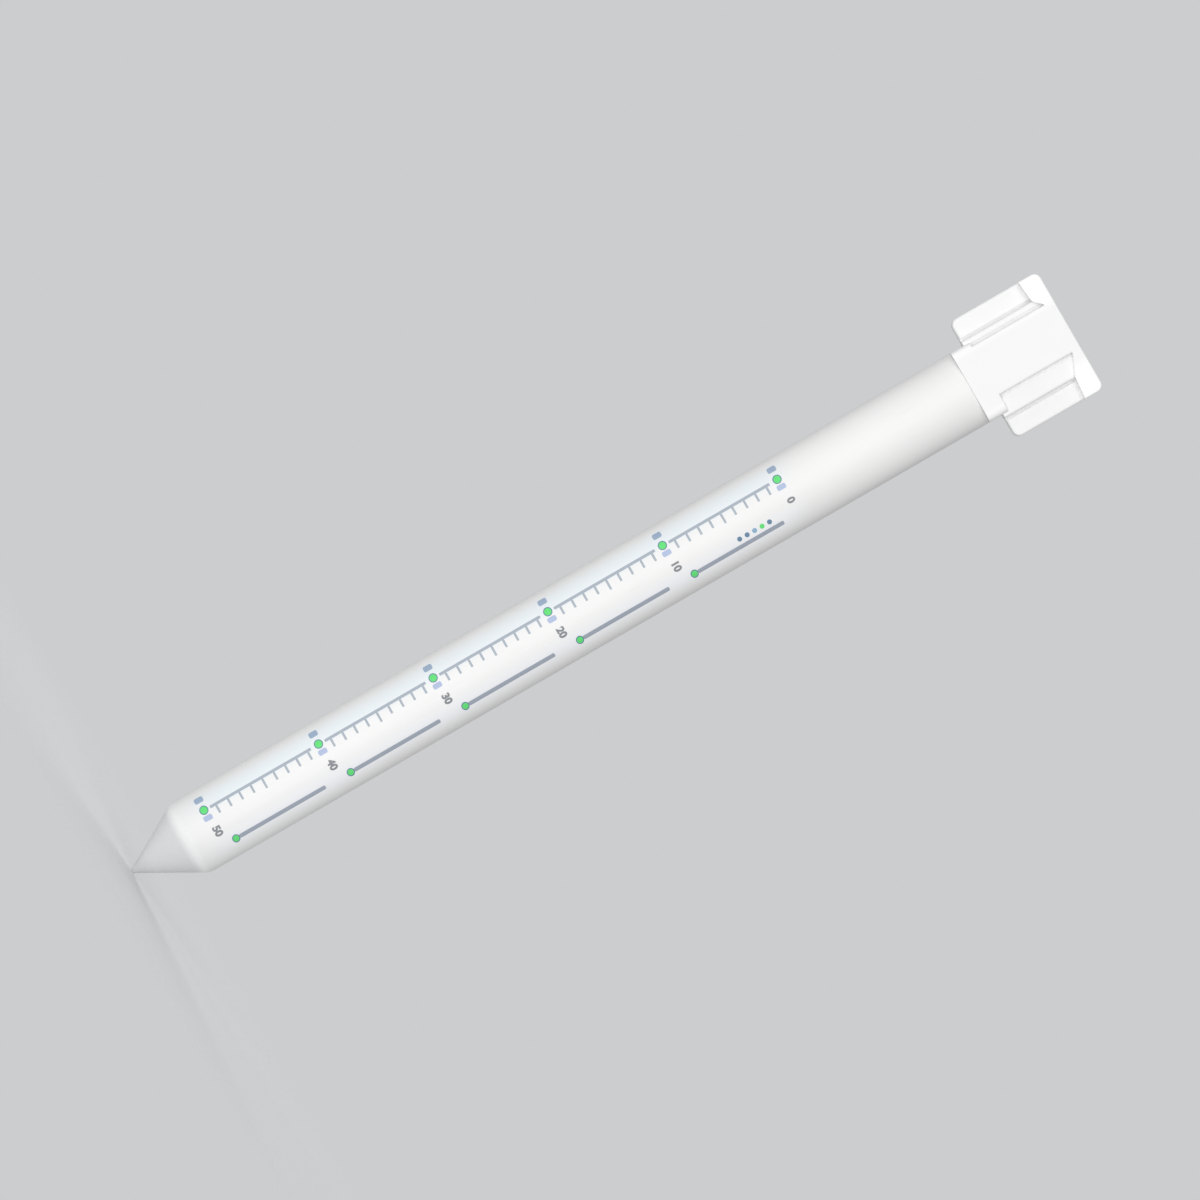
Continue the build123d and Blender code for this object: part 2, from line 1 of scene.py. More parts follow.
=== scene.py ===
"""Soil moisture probe: finishes for its solids, the printed depth scale, small details and the studio."""

import math

import bpy
from bpy.props import FloatProperty, FloatVectorProperty, IntProperty, PointerProperty
from mathutils import Matrix, Vector


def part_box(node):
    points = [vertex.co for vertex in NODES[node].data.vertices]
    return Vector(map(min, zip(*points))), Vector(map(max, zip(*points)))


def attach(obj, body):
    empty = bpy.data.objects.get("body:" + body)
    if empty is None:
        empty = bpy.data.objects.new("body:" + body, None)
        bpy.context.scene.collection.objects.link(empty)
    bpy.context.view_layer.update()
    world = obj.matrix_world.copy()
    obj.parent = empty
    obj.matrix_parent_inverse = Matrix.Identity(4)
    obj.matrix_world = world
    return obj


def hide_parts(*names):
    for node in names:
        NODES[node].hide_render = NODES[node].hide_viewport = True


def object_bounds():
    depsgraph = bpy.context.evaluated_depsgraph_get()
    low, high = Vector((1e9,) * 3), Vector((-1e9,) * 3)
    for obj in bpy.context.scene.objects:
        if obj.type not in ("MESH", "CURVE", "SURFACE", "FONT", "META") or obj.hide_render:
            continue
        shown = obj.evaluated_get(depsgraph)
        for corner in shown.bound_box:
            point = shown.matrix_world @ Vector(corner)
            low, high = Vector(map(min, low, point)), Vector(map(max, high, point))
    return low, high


bl_info = {
    "name": "Soil Moisture Probe",
    "version": (1, 0, 0),
    "blender": (4, 5, 0),
    "location": "View3D > Sidebar > Soil Probe",
    "description": "Finishes the probe's solids, prints its depth scale and sets up the studio",
    "category": "Object",
}

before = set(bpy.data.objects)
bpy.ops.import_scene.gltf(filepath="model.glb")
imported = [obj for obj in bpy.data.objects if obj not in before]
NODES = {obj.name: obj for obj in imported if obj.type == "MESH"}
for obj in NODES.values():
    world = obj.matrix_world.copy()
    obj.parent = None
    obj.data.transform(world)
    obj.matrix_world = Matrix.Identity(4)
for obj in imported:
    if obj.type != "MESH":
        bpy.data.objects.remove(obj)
CAD_BOX = [list(corner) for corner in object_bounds()]
LAYERS = range(1, 6)

# Flat prints are drawn this far in front of the tube's axis before they are wrapped on it
PRINT_STANDOFF = 0.05

# Width of the bands that a flat print is cut into, so that it follows the tube
PRINT_BAND = 0.001

# Grooves at the foot of the head's steps: distance of the step from the middle, depth behind the panel
HEAD_GROOVES = ((0.0159, 0.007), (0.0263, 0.007), (0.03315, 0.015))
HEAD_GROOVE_WIDTH = 0.0025

# Point of the probe that the lamps are turned to
LAMP_TARGET = (0, 0, -0.16)


# Settings


def length_setting(name, description, default):
    """A length in metres."""
    return FloatProperty(name=name, description=description, default=default, unit="LENGTH")


def power_setting(name, description, default):
    """A lamp's power in watts."""
    return FloatProperty(name=name, description=description, default=default, unit="POWER")


def count_setting(name, description, default):
    """A whole number of at least one."""
    return IntProperty(name=name, description=description, default=default, min=1)


def colour_setting(name, description, default):
    """A colour of a finish."""
    return FloatVectorProperty(name=name, description=description, default=default, subtype="COLOR")


def place_setting(name, description, default):
    """A point in the shared frame."""
    return FloatVectorProperty(name=name, description=description, default=default, subtype="TRANSLATION")


class ProbePrintSettings(bpy.types.PropertyGroup):
    """Places and sizes of the printed depth scale, across the tube and up it"""

    layer_height: length_setting("Layer Height", "Distance between scale stations", 0.1)
    layer_count: count_setting("Layers", "Number of scale sections", 5)
    ink_thickness: length_setting("Ink Thickness", "How far the ink stands out of the tube", 0.00008)
    ruler_across: length_setting("Ruler Place", "Place of the ruler line across the tube", -0.0127)
    ruler_width: length_setting("Ruler Width", "Width of the ruler line", 0.0022)
    ruler_start: length_setting("Ruler Start", "Start of a ruler section above its station", 0.0052)
    ruler_end: length_setting("Ruler End", "End of a ruler section above its station", 0.0932)
    tick_count: count_setting("Ticks", "Ticks in a ruler section", 9)
    tick_length: length_setting("Tick Length", "Length of a ruler tick", 0.0064)
    middle_tick_extra: length_setting("Middle Tick Extra", "How much longer the middle tick is", 0.0016)
    tick_width: length_setting("Tick Width", "Width of a ruler tick", 0.0018)
    mark_across: length_setting("Mark Place", "Place of a station's dot across the tube", -0.01295)
    mark_radius: length_setting("Mark Radius", "Outer radius of a station's ring", 0.0035)
    mark_ring: length_setting("Mark Ring", "Width of the ring round a dot", 0.0007)
    outer_bar_across: length_setting("Outer Bar Place", "Place of a station's outer bar", -0.0214)
    inner_bar_across: length_setting("Inner Bar Place", "Place of a station's inner bar", -0.0064)
    bar_width: length_setting("Bar Width", "Size of a station bar across the tube", 0.0042)
    bar_height: length_setting("Bar Height", "Size of a station bar along the tube", 0.0072)
    number_across: length_setting("Number Place", "Place of the depth numbers across the tube", 0.0058)
    number_height: length_setting("Number Height", "Height of the depth numbers", 0.0059)
    number_rise: length_setting("Number Rise", "Line of the depth numbers above their station", 0.0011)
    depth_across: length_setting("Depth Line Place", "Place of the depth lines across the tube", 0.0176)
    depth_width: length_setting("Depth Line Width", "Width of a depth line", 0.003)
    depth_start: length_setting("Depth Line Start", "Start of a depth line above its station", 0.0135)
    depth_end: length_setting("Depth Line End", "End of a depth line above its station", 0.0885)
    depth_mark_rise: length_setting("Depth Mark Rise", "Depth line's dot above its station", 0.0105)
    depth_mark_radius: length_setting("Depth Mark Radius", "Outer radius of a depth line's ring", 0.0031)
    channel_across: length_setting("Channel Dots Place", "Place of the channel dots across the tube", 0.012)
    channel_start: length_setting("Channel Dots Start", "Height of the lowest channel dot", -0.047)
    channel_pitch: length_setting("Channel Dots Pitch", "Distance between channel dots", 0.0065)
    channel_radius: length_setting("Channel Dot Radius", "Radius of a channel dot", 0.0019)


class ProbeFinishSettings(bpy.types.PropertyGroup):
    """Colours of the visible finishes"""

    tube_white: colour_setting("Tube", "Extruded tube", (0.83, 0.83, 0.825))
    head_white: colour_setting("Head", "Moulded head and cover", (0.86, 0.86, 0.86))
    # The point's grey, darker than the tube's white, is painted shade
    point_grey: colour_setting("Point", "Turned drive point", (0.722, 0.722, 0.727))
    ruler_ink: colour_setting("Ruler Ink", "Ruler lines and ticks", (0.38, 0.43, 0.49))
    outer_bar_ink: colour_setting("Outer Bar Ink", "Outer station bars", (0.32, 0.42, 0.56))
    inner_bar_ink: colour_setting("Inner Bar Ink", "Inner station bars", (0.4, 0.48, 0.68))
    ring_ink: colour_setting("Ring Ink", "Rings round the dots", (0.1, 0.2, 0.3))
    dot_green: colour_setting("Dot Green", "Station and depth dots", (0.117, 0.72, 0.181))
    number_ink: colour_setting("Number Ink", "Depth numbers", (0.22, 0.235, 0.255))
    depth_ink: colour_setting("Depth Line Ink", "Depth lines", (0.33, 0.37, 0.44))
    channel_blue: colour_setting("Channel Blue", "Darker channel dots", (0.14, 0.24, 0.36))
    channel_pale: colour_setting("Channel Pale Blue", "Paler channel dots", (0.26, 0.42, 0.58))


class ProbeDetailSettings(bpy.types.PropertyGroup):
    """Sizes of the head's thread and cover screws"""

    thread_root: length_setting("Thread Root", "Radius at the root of the thread", 0.02494)
    thread_crest: length_setting("Thread Crest", "Radius at the crest of the thread", 0.02594)
    thread_base: length_setting("Thread Base", "Height of the lowest turn's middle", 0.149)
    thread_pitch: length_setting("Thread Pitch", "Rise of the thread in one turn", 0.003)
    thread_turns: count_setting("Thread Turns", "Turns of the thread", 3)
    screw_shank: length_setting("Screw Shank", "Radius of a cover screw's shank", 0.00198)
    screw_head: length_setting("Screw Head", "Radius of a cover screw's head", 0.00378)
    socket_radius: length_setting("Socket Radius", "Radius of the hexagon socket", 0.00145)
    socket_depth: length_setting("Socket Depth", "Depth of the hexagon socket", 0.0016)


class ProbeStageSettings(bpy.types.PropertyGroup):
    """Floor, background, lamps and camera"""

    floor_radius: length_setting("Floor Radius", "Radius at which the floor has faded out", 0.75)
    floor_tone: colour_setting("Floor Tone", "Colour of the floor", (0.79, 0.803, 0.816))
    backdrop_tone: colour_setting("Backdrop Tone", "Colour of the background", (0.6, 0.61, 0.62))
    ambient: FloatProperty(name="Ambient", description="Strength of the soft light all round", default=0.42)
    lamp_size: length_setting("Lamp Size", "Side of a square lamp", 3.0)
    key_place: place_setting("Key Place", "Place of the front lamp", (-0.3, -4.0, 0.05))
    key_power: power_setting("Key Power", "Power of the front lamp", 119.0)
    side_place: place_setting("Side Place", "Place of the side lamp", (-3.6, -1.6, 0.5))
    side_power: power_setting("Side Power", "Power of the side lamp", 15.0)
    back_place: place_setting("Back Place", "Place of the lamp behind", (-0.4, 3.8, 1.8))
    back_power: power_setting("Back Power", "Power of the lamp behind", 95.0)
    lens: FloatProperty(name="Lens", description="Focal length in millimetres", default=400.0, unit="CAMERA")
    distance: length_setting("Camera Distance", "From the camera to the probe's axis", 10.1)
    tilt: FloatProperty(
        name="Probe Tilt",
        description="Angle at which the probe rises across the picture",
        default=math.radians(30),
        subtype="ANGLE",
    )
    aim: place_setting("Aim", "Point of the probe in the picture's middle", (-0.0009, 0, -0.1614))


# Shader nodes


class Wire:
    """One shader socket in Python arithmetic. Each operator adds a Math node."""

    def __init__(self, desk, socket):
        self.desk = desk
        self.socket = socket

    def work_out(self, operation, first, second=0.0):
        return self.desk.node("ShaderNodeMath", {"operation": operation}, {0: first, 1: second})

    def __add__(self, other):
        return self.work_out("ADD", self, other)

    def __radd__(self, other):
        return self.work_out("ADD", other, self)

    def __sub__(self, other):
        return self.work_out("SUBTRACT", self, other)

    def __rsub__(self, other):
        return self.work_out("SUBTRACT", other, self)

    def __mul__(self, other):
        return self.work_out("MULTIPLY", self, other)

    def __rmul__(self, other):
        return self.work_out("MULTIPLY", other, self)

    def __truediv__(self, other):
        return self.work_out("DIVIDE", self, other)

    def __pow__(self, other):
        return self.work_out("POWER", self, other)

    def __mod__(self, other):
        return self.work_out("FLOORED_MODULO", self, other)

    def __lt__(self, other):
        return self.work_out("LESS_THAN", self, other)

    def __gt__(self, other):
        return self.work_out("GREATER_THAN", self, other)

    def sine(self):
        return self.work_out("SINE", self)

    def size(self):
        return self.work_out("ABSOLUTE", self)

    def at_most(self, other):
        return self.work_out("MINIMUM", self, other)

    def at_least(self, other):
        return self.work_out("MAXIMUM", self, other)


class NodeDesk:
    """Adds nodes to one node tree."""

    def __init__(self, tree):
        self.tree = tree

    def feed(self, socket, value):
        if isinstance(value, Wire):
            self.tree.links.new(value.socket, socket)
        else:
            socket.default_value = value

    def node(self, kind, settings=None, sockets=None, output=0):
        """Adds a node, sets it up, feeds its sockets and returns one of its outputs, if it has any."""
        node = self.tree.nodes.new(kind)
        for name, value in (settings or {}).items():
            if name == "stops":
                ramp = node.color_ramp.elements
                while len(ramp) < len(value):
                    ramp.new(1.0)
                for element, (position, colour) in zip(ramp, value):
                    element.position = position
                    element.color = colour
            else:
                setattr(node, name, value)
        for key, value in (sockets or {}).items():
            self.feed(node.inputs[key], value)
        return Wire(self, node.outputs[output]) if node.outputs else None


class Finish(NodeDesk):
    """A material in the making."""

    def __init__(self, name):
        self.material = bpy.data.materials.new(name)
        self.material.use_nodes = True
        super().__init__(self.material.node_tree)
        self.shader = self.tree.nodes["Principled BSDF"]
        self.spot = self.node("ShaderNodeTexCoord", output="Object")
        self.x, self.y, self.z = (
            self.node("ShaderNodeSeparateXYZ", {}, {0: self.spot}, output) for output in range(3)
        )

    def grain(self, size, detail=3.0, stretch=(1, 1, 1)):
        """Noise with lumps of about this size, stretched along an axis where its factor is below one."""
        spot = self.node(
            "ShaderNodeVectorMath",
            {"operation": "MULTIPLY"},
            {0: self.spot, 1: [factor / size for factor in stretch]},
        )
        return self.node("ShaderNodeTexNoise", {}, {"Vector": spot, "Scale": 1.0, "Detail": detail})

    def pits(self, size):
        """Distance to the nearest point of a cell pattern with cells of about this size."""
        return self.node("ShaderNodeTexVoronoi", {}, {"Vector": self.spot, "Scale": 1 / size})

    def ramp(self, value, low, high):
        """Zero below one value and one above the other, with a slope between."""
        stops = [(low, (0, 0, 0, 1)), (high, (1, 1, 1, 1))]
        return self.node("ShaderNodeValToRGB", {"stops": stops}, {0: value})

    def rise(self, value, start, end):
        """Zero at the start, one at the end, and held outside them."""
        return ((value - start) / (end - start)).at_least(0.0).at_most(1.0)

    def blend(self, factor, first, second):
        """Mixes two colours."""
        return self.node(
            "ShaderNodeMix",
            {"data_type": "RGBA"},
            {0: factor, 6: as_colour(first), 7: as_colour(second)},
            output=2,
        )

    def dim(self, colour, factor):
        """Multiplies a colour by a number that varies."""
        return self.node(
            "ShaderNodeVectorMath", {"operation": "SCALE"}, {0: colour, "Scale": factor}
        )

    def relief(self, height, distance, strength=1.0):
        """Normal of a surface with this height pattern."""
        return self.node(
            "ShaderNodeBump", {}, {"Strength": strength, "Distance": distance, "Height": height}
        )

    def set(self, **sockets):
        """Feeds the surface's own sockets and returns the material."""
        for name, value in sockets.items():
            socket = self.shader.inputs[name.replace("_", " ")]
            self.feed(socket, as_colour(value) if name == "Base_Color" else value)
        return self.material


def as_colour(value):
    """Adds the alpha that a colour socket needs."""
    return value if isinstance(value, Wire) else (*value[:3], 1.0)


def toned(colour, factor):
    """A lighter or darker version of a colour."""
    return tuple(channel * factor for channel in colour)


# Finishes of the outside


def extruded_white(colour):
    """Pipe plastic with fine draw lines, faint handling marks and a bluish tint beside the scale; the tint on
    the scale's +X side is paler than the tube, so it is also painted light.
    """
    finish = Finish("tube_extruded_white")
    draw_lines = finish.grain(0.0011, 3.0, (1, 1, 0.008))
    cloud = finish.grain(0.06, 2.0)
    rub = finish.ramp(finish.grain(0.003, 5.0, (1, 1, 0.12)), 0.6, 0.74)
    tone = finish.blend(draw_lines * 0.5 + cloud * 0.5, toned(colour, 1.03), toned(colour, 0.965))
    foot_fade, top_fade = (-0.515, -0.49), (0.015, -0.01)
    tint_reach, tint_strength = 0.0085, 0.55
    # Bluish tints beside the scale; the second is paler than the tube and is painted light on the tube's
    # darker +X side
    haze_and_light_tints = ((-0.0175, (0.745, 0.835, 0.9)), (0.0165, (0.865, 0.88, 0.93)))
    printed = (finish.y < 0.0) * finish.rise(finish.z, *foot_fade) * finish.rise(finish.z, *top_fade)
    for middle, tint in haze_and_light_tints:
        away = (finish.x - middle) / tint_reach
        beside = (1.0 - away * away).at_least(0.0)
        tone = finish.blend(printed * beside * tint_strength, tone, tint)
    return finish.set(
        Base_Color=finish.blend(rub * 0.25, tone, toned(colour, 0.93)),
        Roughness=0.5 + draw_lines * 0.12 + rub * 0.12,
        Specular_IOR_Level=0.3,
        Normal=finish.relief(draw_lines, 0.00003, 0.6),
    )


def moulded_white(name, colour, front=0.0):
    """Moulded plastic with a fine spark texture. A front, its place along Y, adds the head's painted
    highlight and painted light and shade.
    """
    finish = Finish(name)
    spark = finish.grain(0.0005, 2.0)
    cloud = finish.grain(0.035, 2.0)
    rub = finish.ramp(finish.grain(0.006, 5.0), 0.62, 0.76)
    tone = finish.blend(cloud, toned(colour, 1.015), toned(colour, 0.975))
    tone = finish.blend(rub * 0.3, tone, toned(colour, 0.94))
    if front:
        tone = head_tones(finish, tone, colour, front)
    return finish.set(
        Base_Color=tone,
        Roughness=0.58 + spark * 0.14 - rub * 0.08,
        Specular_IOR_Level=0.2,
        Normal=finish.relief(spark, 0.00004, 0.5),
    )


def head_tones(finish, tone, colour, front):
    """Painted highlight on the ends of the top plate, and in the grooves painted light on the shaded +X side
    and painted shade on the lit -X side.
    """
    plate_skin, end_highlight_fade = 0.0015, (0.021, 0.028)
    above_floor, below_floor, into_step, grooves_base = 0.0018, 0.0005, 0.0003, 0.1745
    across, level = finish.x.size(), front - finish.y.size()
    plate_end_highlight = (level < plate_skin) * finish.rise(across, *end_highlight_fade)
    # Painted highlight: the ends of the top plate are made paler than the rest of the head
    tone = finish.blend(plate_end_highlight, tone, toned(colour, 1.06))
    for foot, floor in HEAD_GROOVES:
        far = foot + HEAD_GROOVE_WIDTH
        at_floor = (level > floor - above_floor) * (level < floor + below_floor)
        in_width = (across > foot - into_step) * (across < far)
        in_groove = at_floor * in_width * (finish.z > grooves_base)
        # Painted light in the grooves on the shaded +X side, strongest at each step's foot, and painted shade
        # in the grooves on the lit -X side
        groove_painted_light = in_groove * (finish.x > 0.0) * finish.rise(across, far, foot)
        groove_painted_shade = in_groove * (finish.x < 0.0)
        tone = finish.blend(groove_painted_light, tone, toned(colour, 1.12))
        tone = finish.blend(groove_painted_shade, tone, toned(colour, 0.96))
    return tone


def turned_grey(colour, collar):
    """Turned plastic with fine rings and scratches up the cone, darker towards its tip; its grey is painted
    shade and its shoulder carries a painted highlight.
    """
    finish = Finish("point_turned_grey")
    rings = finish.grain(0.00045, 2.0, (0.02, 0.02, 1))
    cloud = finish.grain(0.02, 3.0)
    scratch = finish.ramp(finish.grain(0.0016, 4.0, (1, 1, 0.06)), 0.63, 0.74)
    highlight_fade, shade_border_fade, tip_darkening_fade = (-0.5235, -0.518), (-0.529, -0.523), (-0.555, -0.564)
    # Painted shade and highlight: grey below the border, then a band paler than the tube on the shoulder,
    # fading into the tube's white
    shoulder = finish.blend(finish.rise(finish.z, *highlight_fade), toned(collar, 1.1), collar)
    shade_and_highlight = finish.blend(finish.rise(finish.z, *shade_border_fade), colour, shoulder)
    # Darker towards the tip
    tip_darkening = finish.rise(finish.z, *tip_darkening_fade) * 0.1
    shade = 1.03 - (rings * 0.6 + cloud * 0.4) * 0.07 - scratch * 0.05 - tip_darkening
    return finish.set(
        Base_Color=finish.dim(shade_and_highlight, shade),
        Roughness=0.38 + rings * 0.16 + scratch * 0.1,
        Normal=finish.relief(rings, 0.00005, 0.6),
    )


def seal_rubber():
    """Matt black rubber."""
    finish = Finish("seal_rubber_black")
    grain = finish.grain(0.0007, 3.0)
    bloom = finish.ramp(finish.grain(0.005, 4.0), 0.45, 0.75)
    return finish.set(
        Base_Color=finish.blend(bloom, (0.016, 0.016, 0.017), (0.05, 0.05, 0.052)),
        Roughness=0.55 + grain * 0.2,
        Normal=finish.relief(grain, 0.00006, 0.6),
    )


def screw_steel():
    """Stainless steel with turning marks."""
    finish = Finish("screw_stainless")
    marks = finish.grain(0.00025, 3.0, (1, 1, 0.2))
    return finish.set(
        Base_Color=finish.blend(marks, (0.62, 0.61, 0.59), (0.48, 0.475, 0.465)),
        Metallic=1.0,
        Roughness=0.24 + marks * 0.16,
        Normal=finish.relief(marks, 0.00002, 0.5),
    )


def scale_ink(name, colour):
    """Screen-printed ink with small gaps where it didn't take."""
    finish = Finish(name)
    mesh = finish.grain(0.00035, 2.0)
    wear = finish.ramp(finish.grain(0.0013, 4.0), 0.58, 0.78)
    tone = finish.blend(mesh, toned(colour, 0.92), toned(colour, 1.08))
    faded = tuple(channel * 0.6 + 0.32 for channel in colour)
    return finish.set(
        Base_Color=finish.blend(wear * 0.5, tone, faded),
        Roughness=0.45 + mesh * 0.15,
        Normal=finish.relief(mesh, 0.00002, 0.4),
    )


# Finishes of the string inside


def carrier_plastic(name, colour):
    """Plastic of the pieces that carry the string, with flow marks."""
    finish = Finish(name)
    flow = finish.grain(0.009, 4.0, (1, 1, 0.35))
    grain = finish.grain(0.0006, 2.0)
    return finish.set(
        Base_Color=finish.blend(flow, toned(colour, 1.07), toned(colour, 0.9)),
        Roughness=0.4 + grain * 0.2,
        Normal=finish.relief(grain, 0.00004, 0.5),
    )


def wound_copper():
    """Copper strip with roll lines round the band and light tarnish."""
    finish = Finish("band_rolled_copper")
    roll = finish.grain(0.0003, 2.0, (0.03, 0.03, 1))
    tarnish = finish.ramp(finish.grain(0.007, 5.0), 0.42, 0.72)
    bright = finish.blend(roll, (0.83, 0.42, 0.26), (0.72, 0.35, 0.21))
    return finish.set(
        Base_Color=finish.blend(tarnish * 0.7, bright, (0.4, 0.17, 0.1)),
        Metallic=1.0,
        Roughness=0.3 + roll * 0.14 + tarnish * 0.16,
        Normal=finish.relief(roll, 0.00002, 0.5),
    )


def solder_mask():
    """Green circuit board with tracks under the mask, solder pads and dark components in front."""
    finish = Finish("board_solder_mask")
    # Counts to the metre
    tracks, bends, pad_columns, pad_rows = 520.0, 260.0, 400.0, 140.0
    board_front = -0.00975
    glass = finish.grain(0.0009, 1.0)
    track_place = (finish.x * tracks + (finish.z * bends).sine() * 0.35) % 1.0
    track = finish.ramp(track_place, 0.6, 0.64)
    bare = finish.blend(glass, (0.012, 0.085, 0.03), (0.02, 0.125, 0.045))
    board = finish.blend(track * 0.8, bare, (0.03, 0.19, 0.07))
    pads = ((finish.x * pad_columns) % 1.0 < 0.34) * ((finish.z * pad_rows) % 1.0 < 0.16)
    board = finish.blend(pads * 0.85, board, (0.62, 0.61, 0.57))
    stands_out = finish.y < board_front
    package = finish.blend(finish.grain(0.0004, 2.0), (0.012, 0.012, 0.013), (0.032, 0.032, 0.034))
    return finish.set(
        Base_Color=finish.blend(stands_out, board, package),
        Roughness=0.3 + glass * 0.12 + stands_out * 0.22,
        Metallic=pads * (1.0 - stands_out) * 0.7,
        Normal=finish.relief(track + glass * 0.2, 0.00004, 0.5),
    )


def ribbon_grey():
    """Flat cable: ten wires side by side, one of them marked, with painted shade in the valleys between them.
    """
    finish = Finish("ribbon_flat_grey")
    wire_pitch, marked_edge = 0.0013, -0.0052
    wire = (finish.x * (math.tau / wire_pitch)).sine() * 0.5 + 0.5
    scuff = finish.grain(0.004, 4.0, (1, 1, 0.2))
    grey = finish.blend(scuff, (0.36, 0.365, 0.37), (0.27, 0.275, 0.28))
    # Painted shade in the valleys between the wires, where the relief dips
    sleeve = finish.blend((1.0 - wire) * 0.45, grey, (0.16, 0.162, 0.166))
    return finish.set(
        Base_Color=finish.blend(finish.x < marked_edge, sleeve, (0.42, 0.03, 0.025)),
        Roughness=0.42 + scuff * 0.14,
        Normal=finish.relief(wire, 0.00025, 0.8),
    )


def cell_sleeve(base, top):
    """Shrink sleeve with a pale band round a battery cell, and bare steel at both ends."""
    finish = Finish("cell_shrink_sleeve")
    base_rim, top_rim, band_low, band_high = 0.0012, 0.0022, 0.012, 0.006
    crease = finish.grain(0.005, 5.0, (1, 1, 0.25))
    dents = finish.grain(0.0008, 3.0)
    bare = ((finish.z < base + base_rim) + (finish.z > top - top_rim)).at_most(1.0)
    sleeve = finish.blend(crease, (0.035, 0.13, 0.16), (0.022, 0.09, 0.115))
    band = (finish.z > top - band_low) * (finish.z < top - band_high)
    sleeve = finish.blend(band, sleeve, (0.55, 0.55, 0.53))
    return finish.set(
        Base_Color=finish.blend(bare, sleeve, (0.56, 0.55, 0.53)),
        Metallic=bare,
        Roughness=0.3 + crease * 0.14 + dents * 0.06,
        Normal=finish.relief(crease + dents * 0.3, 0.0001, 0.4),
    )


def contact_nickel():
    """Nickel-plated contact with a stamped grain."""
    finish = Finish("contact_plated_nickel")
    grain = finish.grain(0.0004, 3.0, (1, 0.1, 1))
    return finish.set(
        Base_Color=finish.blend(grain, (0.6, 0.58, 0.53), (0.5, 0.48, 0.44)),
        Metallic=1.0,
        Roughness=0.28 + grain * 0.16,
        Normal=finish.relief(grain, 0.00002, 0.5),
    )


def antenna_ceramic():
    """Fired ceramic with fine specks and faint pits."""
    finish = Finish("antenna_fired_ceramic")
    speck = finish.grain(0.0007, 4.0)
    pit = 1.0 - finish.ramp(finish.pits(0.004), 0.1, 0.4)
    body = finish.blend(speck, (0.6, 0.52, 0.38), (0.46, 0.39, 0.28))
    return finish.set(
        Base_Color=finish.blend(pit * 0.3, body, (0.4, 0.34, 0.25)),
        Roughness=0.5 + speck * 0.2,
        Normal=finish.relief(speck, 0.00004, 0.5),
    )


# Modelling


def pick(*pieces):
    """Leaves only these pieces selected, with the first one active."""
    bpy.ops.object.select_all(action="DESELECT")
    for piece in pieces:
        piece.select_set(True)
    bpy.context.view_layer.objects.active = pieces[0]


def settle(piece):
    """Puts a piece's place, turn and size into its mesh."""
    pick(piece)
    bpy.ops.object.transform_apply(location=True, rotation=True, scale=True)


def copied(piece, shift):
    """A copy of a piece with its own mesh, moved by a shift."""
    pick(piece)
    bpy.ops.object.duplicate(linked=False)
    copy = bpy.context.object
    copy.location = Vector(copy.location) + Vector(shift)
    settle(copy)
    return copy


def joined(name, pieces):
    """Joins pieces into one named object."""
    pick(*pieces)
    if len(pieces) > 1:
        bpy.ops.object.join()
    piece = bpy.context.object
    piece.name = name
    piece.data.name = name
    return piece


def finish_modifiers(piece):
    """Applies every modifier of a piece."""
    pick(piece)
    for modifier in list(piece.modifiers):
        bpy.ops.object.modifier_apply(modifier=modifier.name)


def select_faces(piece, test):
    """Enters edit mode with only those faces selected that pass a test."""
    pick(piece)
    bpy.ops.object.mode_set(mode="EDIT")
    bpy.ops.mesh.select_mode(type="FACE")
    bpy.ops.mesh.select_all(action="DESELECT")
    bpy.ops.object.mode_set(mode="OBJECT")
    for face in piece.data.polygons:
        face.select = test(face)
    bpy.ops.object.mode_set(mode="EDIT")


def select_vertices(piece, test):
    """Enters edit mode with only those vertices selected that pass a test."""
    pick(piece)
    bpy.ops.object.mode_set(mode="EDIT")
    bpy.ops.mesh.select_mode(type="VERT")
    bpy.ops.mesh.select_all(action="DESELECT")
    bpy.ops.object.mode_set(mode="OBJECT")
    for vertex in piece.data.vertices:
        vertex.select = test(vertex)
    bpy.ops.object.mode_set(mode="EDIT")


def dress(piece, material):
    """Gives a piece one material on all its faces."""
    if not piece.material_slots:
        piece.data.materials.append(material)
    for slot in piece.material_slots:
        slot.material = material


def dress_nodes(material, *names):
    """Gives CAD nodes a material."""
    for name in names:
        if name not in NODES:
            raise RuntimeError(f"the packed model has no node {name}")
        dress(NODES[name], material)


def hand_over(piece, body, material):
    """Finishes a new piece: material, smooth shading, body and slot."""
    dress(piece, material)
    pick(piece)
    bpy.ops.object.shade_smooth_by_angle(angle=math.radians(35))
    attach(piece, body)


def flat_strip(across, height, width, length):
    """A flat printed strip with rounded corners, facing the front of the tube."""
    bpy.ops.object.select_all(action="DESELECT")
    bpy.ops.mesh.primitive_plane_add(
        size=1, location=(across, -PRINT_STANDOFF, height), rotation=(math.radians(90), 0, 0)
    )
    strip = bpy.context.object
    strip.scale = (width, length, 1)
    settle(strip)
    corner = min(width, length) * 0.3
    bpy.ops.object.mode_set(mode="EDIT")
    bpy.ops.mesh.select_all(action="SELECT")
    bpy.ops.mesh.bevel(offset=corner, segments=3, affect="VERTICES")
    bpy.ops.object.mode_set(mode="OBJECT")
    return strip


def flat_disc(across, height, radius):
    """A flat printed disc that faces the front of the tube."""
    bpy.ops.object.select_all(action="DESELECT")
    bpy.ops.mesh.primitive_circle_add(
        vertices=40,
        radius=radius,
        fill_type="NGON",
        location=(across, -PRINT_STANDOFF, height),
        rotation=(math.radians(90), 0, 0),
    )
    disc = bpy.context.object
    settle(disc)
    face_front(disc)
    return disc


